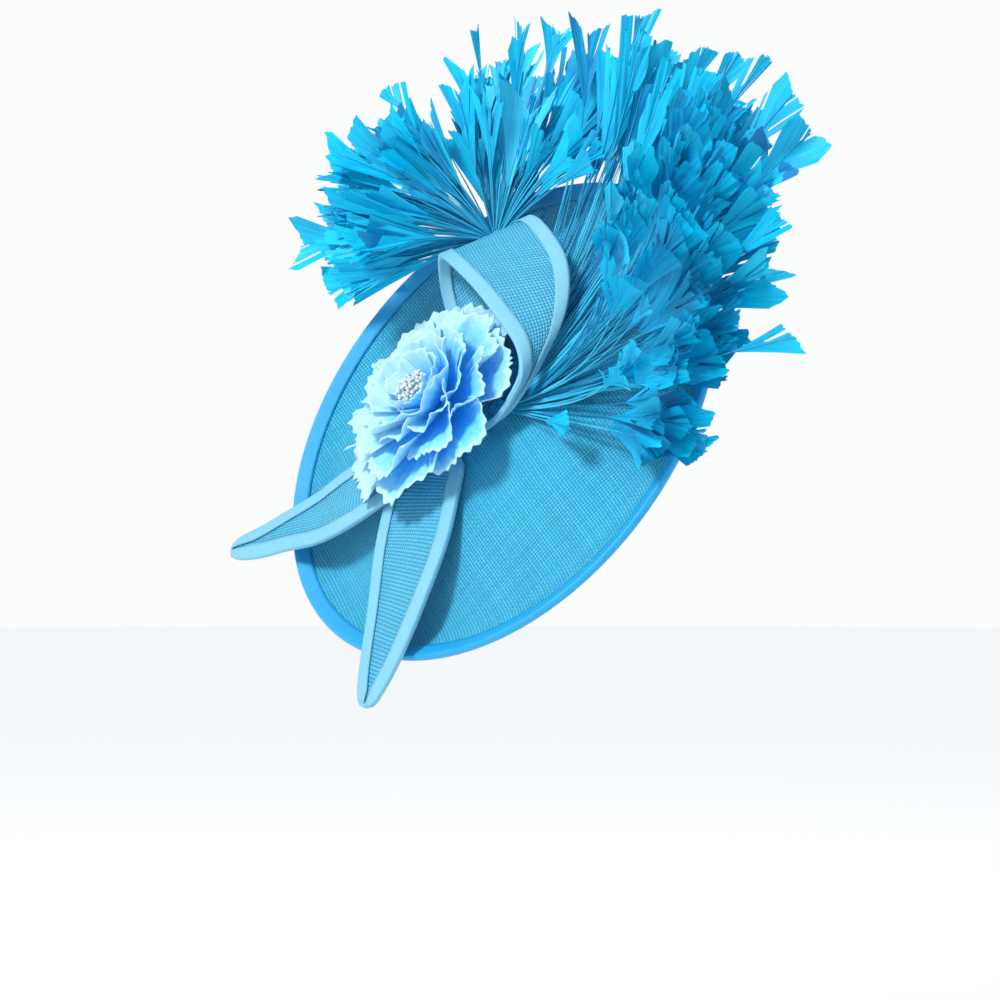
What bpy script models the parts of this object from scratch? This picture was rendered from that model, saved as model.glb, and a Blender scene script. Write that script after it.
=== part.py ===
"""Feather fascinator: a straw saucer worn tilted on the head, with a bound rim, a folded loop,
two pointed tails, a cloth flower with stamens, two sprays of trimmed feathers and a hair comb.

The part is held up as it is worn: +Z is up, +X is to the right of a viewer who looks along +Y,
and the origin is the middle of the saucer's rim plane, where the saucer sits on the head.
Sizes are in millimetres, in the saucer's own frame: u and v lie in its rim plane and w is the
height over it, on the side that shows.
"""

import math

import bmesh
import bpy
import numpy as np
from mathutils import Euler, Vector

MM = 0.001
TOUCH_GAP = 0.3

# how the saucer is turned and tilted on the head
WORN_TURN = math.radians(-135.3)
WORN_TILT = math.radians(62.1)
WORN_SPIN = math.radians(155.1)

SAUCER_RADIUS = 160.0
STRAW_THICKNESS = 1.8
BINDING_WALL = 1.0
RIM_BINDING_WIDTH = 9.0
TURN_STEPS = 48

BAND_THICKNESS = 1.4
BAND_GAP = 0.4
EDGE_BINDING_WIDTH = 8.0
TAIL_CROWN = 1.0

FLOWER_CENTRE = (-17.0, 22.0)
FLOWER_LEAN = math.radians(7.0)
FLOWER_BASE = 20.0
CALYX_RADIUS = 7.0
PETAL_THICKNESS = 1.0
PETAL_STEPS = 4
STAMEN_RADIUS = 10.5
STAMEN_NECK_RADIUS = 1.2
STAMEN_HEIGHT = 19.0

COMB_WIDTH = 72.0
COMB_SPINE = 6.0
COMB_TEETH = 14
TOOTH_LENGTH = 36.0
TOOTH_WIDTH = 2.4
COMB_THICKNESS = 1.8
COMB_PLACE = (0.0, 14.0, 4.95)
COMB_LEAN = math.radians(5.0)

# the saucer's turned profile, from the middle of the crown to the edge of the lip
SAUCER_COLUMNS = ("radius", "height")
SAUCER_ROWS = (
    (0.0, 9.0),
    (30.0, 8.4),
    (56.0, 6.4),
    (80.0, 2.8),
    (103.0, -3.0),
    (122.0, -7.6),
    (137.0, -8.4),
    (148.0, -5.2),
    (160.0, 0.0),
)

# the loop's two edges, from the root up the front leg, over the fold and down the back leg
LOOP_COLUMNS = ("near_u", "near_v", "near_w", "far_u", "far_v", "far_w")
LOOP_ROWS = (
    (-24, -7, 13, -14, -12, 13),
    (-4, -31, 22, 5, -34, 21),
    (14, -39, 29, 24, -38, 24),
    (27, -41, 35, 45, -36, 26),
    (38, -31, 41, 66, -31, 27),
    (45, -9, 46, 83, -22, 30),
    (52, 22, 50, 96, -9, 35),
    (56, 52, 51, 104, 14, 39),
    (57, 75, 46, 106, 37, 37),
    (52, 84, 36, 99, 50, 30),
    (42, 84, 24, 88, 54, 23),
    (31, 73, 15, 70, 43, 18),
    (19, 47, 14, 46, 24, 17),
    (7, 15, 13.5, 19, 6, 14.5),
    (-2, 1, 13, 6, -5, 13),
)

# the tails' middle lines and half widths, from under the flower to the tip
TAIL_COLUMNS = ("u", "v", "w", "half_width")
TAIL_LEFT_ROWS = (
    (-32, 22, 16.7, 16),
    (-51, 24, 17.0, 19),
    (-72, 32, 17.4, 20.5),
    (-94, 46, 16.2, 20.5),
    (-112, 62, 13, 18),
    (-128, 80, 11, 14),
    (-145, 98, 9.5, 10.5),
    (-157, 113, 9, 7),
    (-161, 118, 9, 3),
)
TAIL_LOWER_ROWS = (
    (-36, 13, 11.9, 12),
    (-50, 4, 11.8, 26),
    (-64, -6, 12, 28),
    (-90, -27, 13, 27.5),
    (-119, -45, 11.5, 22),
    (-143, -57, 9, 17),
    (-162, -67, 8, 12),
    (-174, -74, 8, 7),
    (-178, -76, 8, 3),
)

# the rings of petals, from the outside in
PETAL_COLUMNS = ("name", "petals", "radius", "rise", "ruffle", "turn")
PETAL_ROWS = (
    ("flower_outer_petals", 8, 68.0, 8.0, 2.5, 0.0),
    ("flower_second_petals", 8, 54.0, 16.0, 2.5, 0.4),
    ("flower_third_petals", 7, 42.0, 22.0, 2.0, 0.9),
    ("flower_inner_petals", 6, 32.0, 25.0, 1.5, 0.2),
    ("flower_heart_petals", 5, 21.0, 24.0, 1.0, 0.6),
)

# a spray's layers of locks, from the lowest up: height of the tips over the root as an
# elevation, the azimuths of the root's faces that they leave, and the reach of the first lock,
# of the longest one, in the middle, and of the last
LOCK_COLUMNS = ("elevation", "first", "last", "reach_first", "reach_middle", "reach_last")
MAIN_SPRAY_ROWS = (
    (5, -75, 25, 184, 256, 236),
    (14, -85, 15, 188, 258, 230),
    (26, -75, -15, 178, 230, 240),
    (34, -55, -35, 215, 225, 235),
)
SIDE_SPRAY_ROWS = (
    (12, -15, 45, 122, 168, 130),
    (34, 25, 145, 108, 124, 90),
    (58, 45, 165, 104, 116, 114),
)

# a lock's sections along its reach: half width as a share of the widest, and half thickness
LOCK_SECTION_COLUMNS = ("along", "width_share", "half_thickness")
LOCK_SECTION_ROWS = (
    (0.22, 0.08, 1.0),
    (0.42, 0.16, 1.0),
    (0.60, 0.62, 0.9),
    (0.84, 1.00, 0.8),
    (1.00, 0.45, 0.6),
)
LOCK_ROLLS = (-30, 14, -12, 28)
MAIN_ROOT = (4.0, -17.6, 13.4)
MAIN_ROOT_RADIUS = 5.0
MAIN_LOCK_WIDTH = 0.068
MAIN_STEP = 10
MAIN_LIFT_POWER = 2.0
MAIN_DROOP = 6.0
SIDE_ROOT = (85.0, 80.0, 18.0)
SIDE_ROOT_RADIUS = 6.0
SIDE_LOCK_WIDTH = 0.13
SIDE_STEP = 20
SIDE_LIFT_POWER = 1.0
SIDE_DROOP = 14.0
ROOT_HALF_HEIGHT = 3.5
SIDE_STEM_RADIUS = 1.8
SIDE_STEM_ROWS = (
    (30.0, 24.0, 11.0),
    (44.0, 38.0, 10.0),
    (58.0, 52.0, 8.8),
    (72.0, 67.0, 9.6),
    (83.0, 78.0, 12.4),
)

STRAW_BLUE = (0.05, 0.52, 0.83)
SATIN_BLUE = (0.03, 0.38, 0.79)
PALE_BLUE = (0.27, 0.66, 0.86)
PETAL_BLUE = (0.30, 0.60, 0.92)
FEATHER_BLUE = (0.0, 0.37, 0.66)
STAMEN_WHITE = (0.85, 0.93, 0.95)
COMB_CLEAR = (0.60, 0.68, 0.72)


def clear_scene():
    for old in list(bpy.data.objects):
        bpy.data.objects.remove(old, do_unlink=True)


def make_collection(name):
    group = bpy.data.collections.new(name)
    bpy.context.scene.collection.children.link(group)
    return group


def make_material(name, colour, roughness):
    material = bpy.data.materials.new(name)
    material.use_nodes = True
    shader = material.node_tree.nodes["Principled BSDF"]
    shader.inputs["Base Color"].default_value = (*colour, 1.0)
    shader.inputs["Roughness"].default_value = roughness
    shader.inputs["Metallic"].default_value = 0.0
    return material


def place(obj, colour, roughness=0.6):
    """Hang a finished object in the worn frame, with its own material."""
    group.objects.link(obj)
    obj.parent = worn_frame
    obj.data.materials.append(make_material(obj.name, colour, roughness))
    return obj


def smooth_rows(rows, samples):
    """Points on a smooth curve through the rows, with a number of samples between two rows."""
    knots = np.array(rows, dtype=float)
    padded = np.vstack([2 * knots[0] - knots[1], knots, 2 * knots[-1] - knots[-2]])
    share = np.linspace(0.0, 1.0, samples, endpoint=False)[:, None]
    runs = []
    for before, start, end, after in zip(padded, padded[1:], padded[2:], padded[3:]):
        runs.append(0.5 * (2 * start + (end - before) * share
                           + (2 * before - 5 * start + 4 * end - after) * share ** 2
                           + (3 * start - before - 3 * end + after) * share ** 3))
    return np.vstack(runs + [knots[-1:]])


def unit(vectors):
    return vectors / np.linalg.norm(vectors, axis=-1, keepdims=True)


def solidify(obj, thickness):
    wall = obj.modifiers.new("wall", "SOLIDIFY")
    wall.thickness = thickness * MM
    wall.offset = 0.0
    return wall


def sheet(name, points, thickness, colour, closed=False):
    """Open sheet through a grid of points, thickened to a wall; closed joins the last row to
    the first."""
    rows, columns = points.shape[:2]
    order = np.arange(rows * columns).reshape(rows, columns)
    following = np.roll(order, -1, axis=0) if closed else order[1:]
    leading = order if closed else order[:-1]
    faces = np.stack([leading[:, :-1], following[:, :-1], following[:, 1:], leading[:, 1:]], axis=-1)
    mesh = bpy.data.meshes.new(name)
    mesh.from_pydata((points.reshape(-1, 3) * MM).tolist(), [], faces.reshape(-1, 4).tolist())
    mesh.shade_smooth()
    obj = bpy.data.objects.new(name, mesh)
    solidify(obj, thickness)
    return place(obj, colour)


def turned_wall(name, profile, thickness, colour):
    """Profile of (radius, height) pairs turned about the saucer's axis, thickened to a wall."""
    mesh = bpy.data.meshes.new(name)
    edges = [(i, i + 1) for i in range(len(profile) - 1)]
    mesh.from_pydata([(radius * MM, 0.0, height * MM) for radius, height in profile], edges, [])
    obj = bpy.data.objects.new(name, mesh)
    turn = obj.modifiers.new("turn", "SCREW")
    turn.steps = TURN_STEPS
    turn.render_steps = TURN_STEPS
    turn.use_merge_vertices = True
    turn.merge_threshold = 0.00001
    turn.use_smooth_shade = True
    solidify(obj, thickness)
    return place(obj, colour)


def fold_profile(width, cloth_thickness, gap):
    """A binding's middle line over a cloth edge, as (inward, sideways) pairs: down one face,
    round the edge and back along the other face."""
    side = cloth_thickness / 2 + gap + BINDING_WALL / 2
    nose = gap + BINDING_WALL
    return ((width, side), (-0.4 * nose, side), (-nose, 0.0), (-0.4 * nose, -side),
            (width, -side))


def make_saucer():
    """The straw wall ends inside the binding, which reaches the saucer's full radius."""
    binding_nose = TOUCH_GAP + 1.5 * BINDING_WALL
    rise, run = SAUCER_ROWS[-1][1] - SAUCER_ROWS[-2][1], SAUCER_ROWS[-1][0] - SAUCER_ROWS[-2][0]
    lip = Vector((run, rise)).normalized()
    edge = Vector((SAUCER_RADIUS, 0.0)) - lip * binding_nose
    profile = SAUCER_ROWS[:-1] + ((edge.x, edge.y),)
    turned_wall("saucer_base", profile, STRAW_THICKNESS, STRAW_BLUE)

    across = Vector((-lip.y, lip.x))
    fold = []
    for inward, sideways in fold_profile(RIM_BINDING_WIDTH, STRAW_THICKNESS, TOUCH_GAP):
        point = edge - lip * inward + across * sideways
        fold.append((point.x, point.y))
    turned_wall("rim_binding", fold, BINDING_WALL, SATIN_BLUE)


def edge_binding(name, edge, inward, widths, colour):
    """Binding folded over a cloth edge: a profile carried along the edge's points. Where the
    inward direction slants to the edge, its nose reaches further along it."""
    upright = np.cross(unit(np.gradient(edge, axis=0)), inward)
    slant = np.linalg.norm(upright, axis=1, keepdims=True).clip(0.5)
    grid = []
    for share, sideways in fold_profile(1.0, BAND_THICKNESS, BAND_GAP):
        reach = widths[:, None] if share > 0 else share / slant
        grid.append(edge + inward * reach + unit(upright) * sideways)
    return sheet(name, np.stack(grid, axis=1), BINDING_WALL, colour)


def make_loop():
    """A band ruled between two edges: up the front leg, over the fold and down the back leg."""
    rows = smooth_rows(LOOP_ROWS, 3)
    near, far = rows[:, :3], rows[:, 3:]
    across = unit(far - near)
    strip = np.minimum(EDGE_BINDING_WIDTH, 0.4 * np.linalg.norm(far - near, axis=1))
    inset = across * strip[:, None]
    band = np.stack([near, near + inset, far - inset, far], axis=1)
    sheet("loop_band", band, BAND_THICKNESS, PALE_BLUE)
    edge_binding("loop_binding_near", near, across, strip, PALE_BLUE)
    edge_binding("loop_binding_far", far, -across, strip, PALE_BLUE)


def make_tail(name, rows):
    """A pointed strip about a middle line that lies over the saucer, crowned a little across,
    with a binding down one edge, round the tip and back up the other."""
    stations = smooth_rows(rows, 2)
    middle, half = stations[:, :3], stations[:, 3:]
    along = unit(np.gradient(middle, axis=0))
    across = unit(np.cross(along, [0.0, 0.0, 1.0]))
    normal = np.cross(across, along)
    share = np.array([-1.0, 0.0, 1.0])[None, :, None]
    crown = TAIL_CROWN * np.minimum(half / 20.0, 1.0)[:, None] * (1 - share ** 2)
    cloth = middle[:, None] + across[:, None] * half[:, None] * share + normal[:, None] * crown
    sheet(name, cloth, BAND_THICKNESS, PALE_BLUE)

    left, ridge, right = cloth[:, 0], cloth[:, 1], cloth[:, 2]
    edge = np.vstack([left, ridge[-1:] + along[-1:] * 0.4, right[::-1]])
    inward = unit(np.vstack([ridge - left, -along[-1:], (ridge - right)[::-1]]))
    strip = np.minimum(EDGE_BINDING_WIDTH, 0.86 * half[:, 0])
    strip = np.concatenate([strip, strip[-1:], strip[::-1]])
    edge_binding(name + "_binding", edge, inward, strip, PALE_BLUE)


def petal_ring(name, petals, radius, rise, ruffle, turn, layer):
    """One ring of petals as a polar sheet: its outline dips between petals and each petal's
    middle stands higher than its sides."""
    angle = np.linspace(0.0, 2 * math.pi, petals * PETAL_STEPS, endpoint=False)[:, None]
    out = np.array([0.06, 0.35, 0.68, 1.0])[None, :]
    phase = np.cos(petals * angle) * 0.5 + 0.5
    reach = radius * (1.0 - 0.16 * (1.0 - phase) ** 2)
    height = rise * out ** 1.6 + ruffle * out ** 2 * (2 * phase - 1)
    distance = reach * out
    points = np.stack([distance * np.cos(angle + turn), distance * np.sin(angle + turn),
                       height], axis=-1)
    sheet(name, on_flower(points, petal_level(layer)), PETAL_THICKNESS, PETAL_BLUE, closed=True)


def petal_level(layer):
    return FLOWER_BASE + layer * (PETAL_THICKNESS + TOUCH_GAP)


def on_flower(points, level, lean=FLOWER_LEAN):
    """Points about the flower's axis, which leans towards +v, put at a height over the rim."""
    turned = np.array(Euler((-lean, 0.0, 0.0)).to_matrix())
    return (points + [0.0, 0.0, level - FLOWER_BASE]) @ turned.T + [*FLOWER_CENTRE, FLOWER_BASE]


def saucer_top(distance):
    heights = np.interp(distance, *np.array(SAUCER_ROWS).T)
    return heights + STRAW_THICKNESS / 2 + TOUCH_GAP


def add_cone(name, bottom_radius, top_radius, floor, ceiling, colour, lean=0.0):
    """Upright cone under or on the flower, between two heights over the rim plane."""
    middle = on_flower(np.array([[0.0, 0.0, (ceiling - floor) / 2]]), floor, lean)[0]
    bpy.ops.mesh.primitive_cone_add(
        vertices=20, radius1=bottom_radius * MM, radius2=top_radius * MM,
        depth=(ceiling - floor) * MM, location=Vector(middle) * MM, rotation=(-lean, 0.0, 0.0))
    obj = bpy.context.object
    obj.name = name
    bpy.context.collection.objects.unlink(obj)
    return place(obj, colour)


def make_flower():
    for layer, row in enumerate(PETAL_ROWS):
        petal_ring(*row, layer)
    floor = saucer_top(math.hypot(*FLOWER_CENTRE))
    seat = PETAL_THICKNESS / 2 + TOUCH_GAP
    ceiling = FLOWER_BASE - seat - CALYX_RADIUS * math.sin(FLOWER_LEAN)
    add_cone("flower_calyx", CALYX_RADIUS, 0.8 * CALYX_RADIUS, floor, ceiling, SATIN_BLUE)
    heart = petal_level(len(PETAL_ROWS) - 1) + seat
    cluster = add_cone("stamen_cluster", STAMEN_NECK_RADIUS, STAMEN_RADIUS, heart,
                       heart + STAMEN_HEIGHT, STAMEN_WHITE, FLOWER_LEAN)
    dome = cluster.modifiers.new("dome", "BEVEL")
    dome.width = 0.4 * STAMEN_RADIUS * MM
    dome.segments = 2
    cluster.data.shade_smooth()


def grow(bm, face, sections):
    """Carry a face outwards through sections of as many corners, and close the end."""
    ring = list(face.verts)
    bm.faces.remove(face)
    for section in sections:
        following = [bm.verts.new(Vector(corner) * MM) for corner in section]
        for i in range(len(ring)):
            j = (i + 1) % len(ring)
            bm.faces.new((ring[i], ring[j], following[j], following[i]))
        ring = following
    bm.faces.new(ring)


def lock_sections(root, azimuth, elevation, reach, widest, lift_power, droop, roll):
    """Four-cornered sections of a lock: thin at the root, then a flat blade. It lifts over the
    rim plane with a power of its length and droops towards the ground."""
    level = np.array([math.cos(azimuth), math.sin(azimuth), 0.0])
    side = np.array([-math.sin(azimuth), math.cos(azimuth), 0.0])
    up = np.array([0.0, 0.0, 1.0])
    ground = np.array(worn_frame.rotation_euler.to_matrix().inverted() @ Vector((0, 0, -1)))
    sections = []
    for along, width_share, half_thickness in LOCK_SECTION_ROWS:
        middle = (np.array(root) + level * reach * math.cos(elevation) * along
                  + up * reach * math.sin(elevation) * along ** lift_power
                  + ground * droop * along ** 2)
        turned = roll * along
        flat = side * math.cos(turned) + up * math.sin(turned)
        thick = up * math.cos(turned) - side * math.sin(turned)
        wide = flat * widest * reach * width_share
        deep = thick * half_thickness
        sections.append((middle - wide - deep, middle + wide - deep,
                         middle + wide + deep, middle - wide + deep))
    return sections


def root_cylinder(root, radius, layers, step):
    """Short cylinder with one band of side faces for each layer of locks; returns the mesh and
    its side faces by (layer, azimuth in degrees)."""
    bm = bmesh.new()
    count = 360 // step
    heights = np.linspace(-ROOT_HALF_HEIGHT, ROOT_HALF_HEIGHT, layers + 1)
    rings = []
    for height in heights:
        ring = []
        for i in range(count):
            angle = math.radians(step * (i - 0.5) + 5)
            offset = Vector((radius * math.cos(angle), radius * math.sin(angle), height))
            ring.append(bm.verts.new((Vector(root) + offset) * MM))
        rings.append(ring)
    sides = {}
    for layer, (low, high) in enumerate(zip(rings, rings[1:])):
        for i in range(count):
            j = (i + 1) % count
            sides[layer, (step * i + 5) % 360] = bm.faces.new((low[i], low[j], high[j], high[i]))
    bm.faces.new(rings[0][::-1])
    bm.faces.new(rings[-1])
    return bm, sides


def make_spray(name, root, radius, rows, step, widest, lift_power, droop):
    """A plume in locks, fused to the bound root that they leave in layers. Every other layer
    is turned by half a step, so that its locks stand between those below."""
    bm, sides = root_cylinder(root, radius, len(rows), step)
    for layer, (elevation, first, last, *reaches) in enumerate(rows):
        middle = (first + last) / 2
        for count, azimuth in enumerate(range(first, last + 1, step)):
            reach = np.interp(azimuth, (first, middle, last), reaches)
            turned = math.radians(azimuth + (layer % 2) * step / 2)
            roll = math.radians(LOCK_ROLLS[count % len(LOCK_ROLLS)])
            sections = lock_sections(root, turned, math.radians(elevation), reach,
                                     widest, lift_power, droop, roll)
            grow(bm, sides[layer, azimuth % 360], sections)
    finish_mesh(bm, name)


def finish_mesh(bm, name):
    mesh = bpy.data.meshes.new(name)
    bm.normal_update()
    bm.to_mesh(mesh)
    bm.free()
    place(bpy.data.objects.new(name, mesh), FEATHER_BLUE)


def make_stem():
    """The bound quills that run over the saucer, under the loop, to the side spray's root."""
    path = np.array(SIDE_STEM_ROWS)
    along = unit(np.gradient(path, axis=0))
    side = unit(np.cross([0.0, 0.0, 1.0], along)) * SIDE_STEM_RADIUS
    up = np.cross(along, side)
    corners = np.stack([path - side - up, path + side - up, path + side + up, path - side + up],
                       axis=1)
    bm = bmesh.new()
    first = [bm.verts.new(Vector(corner) * MM) for corner in corners[0]]
    grow(bm, bm.faces.new(first), corners[1:])
    bm.faces.new(first[::-1])
    finish_mesh(bm, "feather_stem")


def make_comb():
    """A flat comb under the crown: a spine with pointed teeth, cut from one sheet."""
    half = COMB_WIDTH / 2
    pitch = (COMB_WIDTH - TOOTH_WIDTH) / (COMB_TEETH - 1)
    outline = [(half, 0.0), (half, COMB_SPINE), (-half, COMB_SPINE), (-half, 0.0)]
    for tooth in range(COMB_TEETH):
        left = -half + tooth * pitch
        right = left + TOOTH_WIDTH
        outline += [(left, -0.8 * TOOTH_LENGTH), ((left + right) / 2, -TOOTH_LENGTH),
                    (right, -0.8 * TOOTH_LENGTH)]
        if tooth < COMB_TEETH - 1:
            outline += [(right, 0.0), (left + pitch, 0.0)]
    curve = bpy.data.curves.new("hair_comb", "CURVE")
    curve.dimensions = "2D"
    curve.fill_mode = "BOTH"
    curve.extrude = COMB_THICKNESS / 2 * MM
    spline = curve.splines.new("POLY")
    spline.points.add(len(outline) - 1)
    for point, (x, y) in zip(spline.points, outline):
        point.co = (x * MM, y * MM, 0.0, 1.0)
    spline.use_cyclic_u = True
    comb = place(bpy.data.objects.new("hair_comb", curve), COMB_CLEAR, 0.25)
    comb.location = Vector(COMB_PLACE) * MM
    comb.rotation_euler = (COMB_LEAN, 0.0, 0.0)


clear_scene()
group = make_collection("feather_fascinator")
worn_frame = bpy.data.objects.new("worn_frame", None)
group.objects.link(worn_frame)
worn_frame.rotation_mode = "XYZ"
spin, tilt, turn = (Euler((0, 0, WORN_SPIN)).to_matrix(), Euler((0, WORN_TILT, 0)).to_matrix(),
                    Euler((0, 0, WORN_TURN)).to_matrix())
worn_frame.rotation_euler = (turn @ tilt @ spin).to_euler()

make_saucer()
make_loop()
make_tail("tail_left", TAIL_LEFT_ROWS)
make_tail("tail_lower", TAIL_LOWER_ROWS)
make_flower()
make_spray("feather_plume_main", MAIN_ROOT, MAIN_ROOT_RADIUS, MAIN_SPRAY_ROWS, MAIN_STEP,
           MAIN_LOCK_WIDTH, MAIN_LIFT_POWER, MAIN_DROOP)
make_spray("feather_plume_side", SIDE_ROOT, SIDE_ROOT_RADIUS, SIDE_SPRAY_ROWS, SIDE_STEP,
           SIDE_LOCK_WIDTH, SIDE_LIFT_POWER, SIDE_DROOP)
make_stem()
make_comb()
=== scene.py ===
"""Feather fascinator, dressed: woven straw and bindings, folded loop, pointed tails, cloth flower
with stamens, and trimmed feathers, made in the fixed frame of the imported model.

Every piece is a surface worked out from named sizes in millimetres, in the saucer's own frame: u
and v lie in its rim plane and w is the height over it, on the side that shows.
"""

import math

import bmesh
import bpy
import numpy as np
from bpy.props import FloatProperty, FloatVectorProperty, IntProperty, PointerProperty
from mathutils import Matrix, Vector


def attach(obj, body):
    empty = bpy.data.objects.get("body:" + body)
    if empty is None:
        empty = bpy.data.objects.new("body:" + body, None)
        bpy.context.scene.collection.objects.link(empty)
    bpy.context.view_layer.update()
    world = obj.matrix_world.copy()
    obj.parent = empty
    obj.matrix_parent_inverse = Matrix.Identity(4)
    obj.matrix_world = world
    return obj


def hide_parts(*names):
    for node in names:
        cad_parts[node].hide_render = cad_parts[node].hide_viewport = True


bl_info = {
    "name": "Feather fascinator",
    "version": (1, 0, 0),
    "blender": (4, 5, 0),
    "location": "3D View > Sidebar > Fascinator",
    "description": "Makes a worn straw saucer with a loop, tails, a flower and feathers",
    "category": "Object",
}

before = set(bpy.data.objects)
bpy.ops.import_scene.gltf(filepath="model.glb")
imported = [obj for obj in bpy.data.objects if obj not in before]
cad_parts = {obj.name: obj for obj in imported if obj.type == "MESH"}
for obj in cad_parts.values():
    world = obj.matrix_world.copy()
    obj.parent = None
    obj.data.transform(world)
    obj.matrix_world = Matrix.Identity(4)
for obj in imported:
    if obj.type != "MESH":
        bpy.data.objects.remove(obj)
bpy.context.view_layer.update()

MM = 0.001
TAU = 2 * math.pi
TOUCH_GAP = 0.3

# the saucer's turn, tilt and spin as it is worn
WORN = np.array(Matrix.Rotation(math.radians(-135.3), 3, "Z")
                @ Matrix.Rotation(math.radians(62.1), 3, "Y")
                @ Matrix.Rotation(math.radians(155.1), 3, "Z"))
GROUND = np.array([0.0, 0.0, -1.0]) @ WORN

SAUCER_RADIUS = 160.0
STRAW_THICKNESS = 1.8
BINDING_WALL = 1.0
RIM_BINDING_WIDTH = 9.0
BAND_THICKNESS = 1.4
BAND_GAP = 0.4
LIP_INSET = TOUCH_GAP + 1.5 * BINDING_WALL
SAUCER_SIDES = 192
RIM_SIDES = 360

# seeds of the random draws
PETAL_SEED = 11
STAMEN_SEED = 5
MAIN_SEED = 23
SIDE_SEED = 31

# shallow puckers round the rim binding: height, number round the rim and phase
PUCKER_ROWS = ((0.16, 91, 0.0), (0.12, 137, 1.0))

# distance between threads, across and along the cloth
STRAW_PITCH = (1.9, 1.9)
CLOTH_PITCH = (1.9, 2.4)
SATIN_PITCH = (0.75, 0.75)
STRIP_PITCH = (0.8, 0.8)
BIAS_TURN = 0.785

# columns of points across a band, and the widest a strip may be, as a share of the loop's width
# or of a tail's half width
BAND_COLUMNS = 25
LOOP_STRIP_SHARE = 0.4
TAIL_STRIP_SHARE = 0.86

# half width from which a tail is fully crowned
FULL_CROWN_HALF_WIDTH = 20.0

# the saucer's turned profile, as (radius, height)
SAUCER_ROWS = ((0, 9), (30, 8.4), (56, 6.4), (80, 2.8), (103, -3), (122, -7.6), (137, -8.4),
               (148, -5.2), (160, 0))

# the loop's near and far edges, from the root over the fold and back, as (u, v, w, u, v, w)
LOOP_ROWS = (
    (-24, -7, 13, -14, -12, 13), (-4, -31, 22, 5, -34, 21), (14, -39, 29, 24, -38, 24),
    (27, -41, 35, 45, -36, 26), (38, -31, 41, 66, -31, 27), (45, -9, 46, 83, -22, 30),
    (52, 22, 50, 96, -9, 35), (56, 52, 51, 104, 14, 39), (57, 75, 46, 106, 37, 37),
    (52, 84, 36, 99, 50, 30), (42, 84, 24, 88, 54, 23), (31, 73, 15, 70, 43, 18),
    (19, 47, 14, 46, 24, 17), (7, 15, 13.5, 19, 6, 14.5), (-2, 1, 13, 6, -5, 13),
)

# the tails' middle lines and half widths, as (u, v, w, half width)
TAIL_LEFT_ROWS = (
    (-32, 22, 16.7, 16), (-51, 24, 17, 19), (-72, 32, 17.4, 20.5), (-94, 46, 16.2, 20.5),
    (-112, 62, 13, 18), (-128, 80, 11, 14), (-145, 98, 9.5, 10.5), (-157, 113, 9, 7),
    (-161, 118, 9, 3),
)
TAIL_LOWER_ROWS = (
    (-36, 13, 11.9, 12), (-50, 4, 11.8, 26), (-64, -6, 12, 28), (-90, -27, 13, 27.5),
    (-119, -45, 11.5, 22), (-143, -57, 9, 17), (-162, -67, 8, 12), (-174, -74, 8, 7),
    (-178, -76, 8, 3),
)

# the rings of petals, from the outside in:
# piece, node, petals, radius, rise, ruffle, turn, tilt of each petal over the next, depth of dye and
# painted shade
PETAL_ROWS = (
    ("outer_petals", "flower_outer_petals", 8, 70, 8, 2.5, -0.15, 2.4, 0.31),
    ("second_petals", "flower_second_petals", 8, 57, 16, 2.5, 0.4, 2.2, 0.28),
    ("third_petals", "flower_third_petals", 7, 42, 22, 2.0, 0.9, 2.0, 0.26),
    ("inner_petals", "flower_inner_petals", 6, 32, 25, 1.5, 0.2, 1.6, 0.30),
    ("heart_petals", "flower_heart_petals", 5, 21, 24, 1.0, 0.6, 1.2, 0.32),
)
PETAL_OUT_STEPS = 22
PETAL_OVER_STEPS = 57

# a petal's edge and surface, as shares of its ring's radius
PINK_DEPTH = 0.05
LOBE_DEPTH = 0.05
CORNER_CUT = 0.13
CUP_DEPTH = 0.09
END_DROP = 0.05

# rise of the tone at a petal's edge, and a painted glow that lifts the petals' shade, standing for
# light through the cloth
PALE_EDGE_TONE = 0.28
PAINTED_PETAL_GLOW = 0.07
PETAL_THICKNESS = 0.5

FLOWER_CENTRE = (-13.5, 22.0)
FLOWER_LEAN = math.radians(7)
FLOWER_BASE = 20.0
PETAL_LAYER = 1.3
STAMEN_HEIGHT = 19.0
STAMEN_SPREAD = 13.5
STAMEN_SHIFT = (-5.5, 5.5, 0.0)
THREAD_RADIUS = 0.22
BEAD_RADII = (1.1, 1.5)
GOLDEN_ANGLE = 2.39996

# the sprays' bound roots, as places and sizes of the binding
MAIN_ROOT = (4.0, -17.6, 13.4)
MAIN_ROOT_RADIUS = 5.0
SIDE_ROOT = (85.0, 80.0, 18.0)
SIDE_ROOT_RADIUS = 6.0
ROOT_HALF_HEIGHT = 3.5

# the sprays' layers: elevation, first and last azimuth, share of the feathers, share of the reach,
# and the power that crowds feathers towards the last azimuth where it is under one
MAIN_LAYER_ROWS = ((3, -75, 29, 0.50, 1.0, 1.0), (13, -78, 22, 0.30, 0.99, 0.7),
                   (25, -75, -15, 0.13, 1.07, 0.75), (34, -53, -33, 0.07, 1.14, 1.0))
SIDE_LAYER_ROWS = ((12, -15, 50, 0.34, 1.0, 1.0), (20, -5, 100, 0.16, 0.62, 1.0),
                   (34, 35, 155, 0.25, 0.82, 1.0), (58, 45, 165, 0.25, 0.80, 1.0))

# how far the feathers of each spray reach at an azimuth
MAIN_REACH_ROWS = ((-80, 174), (-62, 170), (-47, 186), (-23, 216), (-8, 244), (0, 250), (29, 244))
SIDE_REACH_ROWS = ((-15, 122), (17, 150), (50, 134), (95, 144), (125, 136), (165, 112))

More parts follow.
